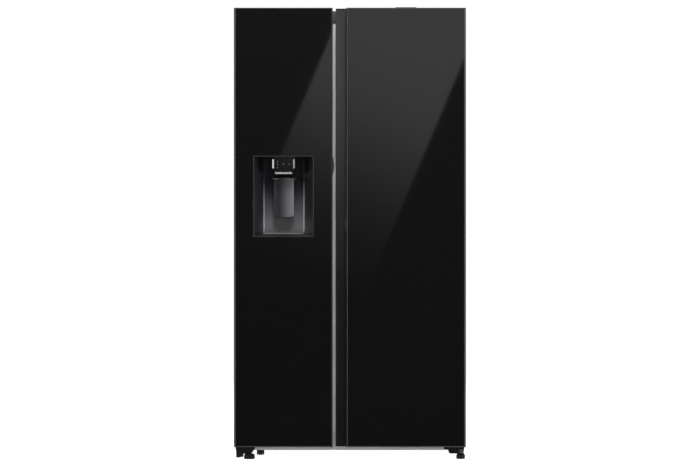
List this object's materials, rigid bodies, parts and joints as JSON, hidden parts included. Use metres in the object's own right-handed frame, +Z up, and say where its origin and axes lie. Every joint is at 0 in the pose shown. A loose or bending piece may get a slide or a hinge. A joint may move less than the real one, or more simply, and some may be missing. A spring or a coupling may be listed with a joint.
{
  "type": "side by side refrigerator",
  "caption": "Side by side refrigerator with black glass doors, a recessed grip between them, and a water and ice dispenser in the freezer door.",
  "frame": {"origin": "on the floor under the middle of the whole box, with both doors shut", "axes": "+Z up, the doors face -Y, +X to the right seen from the front"},
  "size_m": [0.912, 0.716, 1.79],
  "materials": {
    "cabinet_paint": "satin",
    "insulating_foam": "matte",
    "galvanised_sheet": "satin",
    "liner_plastic": "satin",
    "bright_steel": "satin",
    "dark_plastic": "satin",
    "black_steel": "satin",
    "foot_plastic": "matte",
    "fin_aluminium": "satin",
    "clear_plastic": "gloss",
    "shelf_glass": "gloss",
    "frame_paint": "satin",
    "black_glass": "gloss",
    "gasket_rubber": "matte"
  },
  "bodies": {
    "cabinet": {"cabinet_wrapper": "cabinet_paint", "cabinet_foam": "insulating_foam", "rear_panel": "galvanised_sheet", "freezer_liner": "liner_plastic", "fridge_liner": "liner_plastic", "middle_post_strip": "bright_steel", "front_bottom_beam": "bright_steel", "top_cover": "dark_plastic", "control_box_cover": "dark_plastic", "upper_hinge_left": "black_steel", "upper_hinge_right": "black_steel", "lower_hinge_left": "black_steel", "lower_hinge_right": "black_steel", "base_plate": "galvanised_sheet", "compressor": "black_steel", "condenser": "black_steel", "machine_cover": "galvanised_sheet", "evaporator_cover": "liner_plastic", "evaporator": "fin_aluminium", "fridge_air_duct": "liner_plastic", "ice_maker": "liner_plastic", "crisper_cover": "shelf_glass", "fridge_shelf_1": "shelf_glass", "fridge_shelf_2": "shelf_glass", "fridge_shelf_3": "shelf_glass", "freezer_shelf_1": "shelf_glass", "freezer_shelf_2": "shelf_glass"},
    "freezer_door": {"freezer_door_frame": "frame_paint", "freezer_door_glass": "black_glass", "freezer_door_foam": "insulating_foam", "freezer_door_liner": "liner_plastic", "freezer_gasket": "gasket_rubber", "dispenser_housing": "dark_plastic", "dispenser_control_panel": "dark_plastic", "ice_bucket": "clear_plastic", "freezer_bin_1": "clear_plastic", "freezer_bin_2": "clear_plastic"},
    "fridge_door": {"fridge_door_frame": "frame_paint", "fridge_door_glass": "black_glass", "fridge_door_foam": "insulating_foam", "fridge_door_liner": "liner_plastic", "fridge_gasket": "gasket_rubber", "handle_channel": "dark_plastic", "fridge_bin_1": "clear_plastic", "fridge_bin_2": "clear_plastic", "fridge_bin_3": "clear_plastic", "fridge_bin_4": "clear_plastic"},
    "dispenser_lever": {"dispenser_lever": "dark_plastic"},
    "ice_chute_flap": {"ice_chute_flap": "dark_plastic"},
    "freezer_drawer_upper": {"freezer_drawer_upper": "clear_plastic"},
    "freezer_drawer_lower": {"freezer_drawer_lower": "clear_plastic"},
    "crisper_upper": {"crisper_upper": "clear_plastic"},
    "crisper_lower": {"crisper_lower": "clear_plastic"},
    "levelling_foot_left": {"levelling_foot_left": "foot_plastic"},
    "levelling_foot_right": {"levelling_foot_right": "foot_plastic"},
    "rear_roller_left": {"rear_roller_left": "dark_plastic"},
    "rear_roller_right": {"rear_roller_right": "dark_plastic"},
    "front_roller_left": {"front_roller_left": "dark_plastic"},
    "condenser_fan": {"condenser_fan": "dark_plastic"},
    "evaporator_fan": {"evaporator_fan": "dark_plastic"}
  },
  "joints": [
    {"name": "freezer_door_hinge", "type": "hinge", "parent": "cabinet", "child": "freezer_door", "pos_m": [-0.44, -0.3, 0], "axis": [0, 0, -1], "range_deg": [0, 135]},
    {"name": "fridge_door_hinge", "type": "hinge", "parent": "cabinet", "child": "fridge_door", "pos_m": [0.44, -0.3, 0], "axis": [0, 0, 1], "range_deg": [0, 135]},
    {"name": "lever_hinge", "type": "hinge", "parent": "freezer_door", "child": "dispenser_lever", "pos_m": [-0.2608, -0.307, 1.1067], "axis": [1, 0, 0], "range_deg": [0, 10], "stiffness_Nm_per_rad": 0.6, "springref_deg": -5.73},
    {"name": "flap_hinge", "type": "hinge", "parent": "freezer_door", "child": "ice_chute_flap", "pos_m": [-0.2608, -0.293, 1.1342], "axis": [1, 0, 0], "range_deg": [0, 30]},
    {"name": "freezer_drawer_upper_slide", "type": "slide", "parent": "cabinet", "child": "freezer_drawer_upper", "axis": [0, -1, 0], "range_m": [0, 0.26]},
    {"name": "freezer_drawer_lower_slide", "type": "slide", "parent": "cabinet", "child": "freezer_drawer_lower", "axis": [0, -1, 0], "range_m": [0, 0.18]},
    {"name": "crisper_upper_slide", "type": "slide", "parent": "cabinet", "child": "crisper_upper", "axis": [0, -1, 0], "range_m": [0, 0.26]},
    {"name": "crisper_lower_slide", "type": "slide", "parent": "cabinet", "child": "crisper_lower", "axis": [0, -1, 0], "range_m": [0, 0.18]},
    {"name": "foot_left_turn", "type": "hinge", "parent": "cabinet", "child": "levelling_foot_left", "pos_m": [-0.397, -0.283, 0], "axis": [0, 0, 1], "continuous": true},
    {"name": "foot_right_turn", "type": "hinge", "parent": "cabinet", "child": "levelling_foot_right", "pos_m": [0.438, -0.274, 0], "axis": [0, 0, 1], "continuous": true},
    {"name": "rear_roller_left_spin", "type": "hinge", "parent": "cabinet", "child": "rear_roller_left", "pos_m": [-0.405, 0.255, 0.024], "axis": [1, 0, 0], "continuous": true},
    {"name": "rear_roller_right_spin", "type": "hinge", "parent": "cabinet", "child": "rear_roller_right", "pos_m": [0.405, 0.255, 0.024], "axis": [1, 0, 0], "continuous": true},
    {"name": "front_roller_left_spin", "type": "hinge", "parent": "cabinet", "child": "front_roller_left", "pos_m": [-0.3545, -0.234, 0.025], "axis": [1, 0, 0], "continuous": true},
    {"name": "condenser_fan_spin", "type": "hinge", "parent": "cabinet", "child": "condenser_fan", "pos_m": [-0.112, 0.235, 0.1357], "axis": [1, 0, 0], "continuous": true},
    {"name": "evaporator_fan_spin", "type": "hinge", "parent": "cabinet", "child": "evaporator_fan", "pos_m": [-0.2455, 0.243, 1], "axis": [0, 1, 0], "continuous": true}
  ],
  "couplings": [
    {"joint": "freezer_drawer_upper_slide", "follows": "freezer_door_hinge", "m_per_rad": 0.10886},
    {"joint": "freezer_drawer_lower_slide", "follows": "freezer_door_hinge", "m_per_rad": 0.07448},
    {"joint": "crisper_upper_slide", "follows": "fridge_door_hinge", "m_per_rad": 0.10886},
    {"joint": "crisper_lower_slide", "follows": "fridge_door_hinge", "m_per_rad": 0.07448},
    {"joint": "flap_hinge", "follows": "lever_hinge", "ratio": 3}
  ]
}
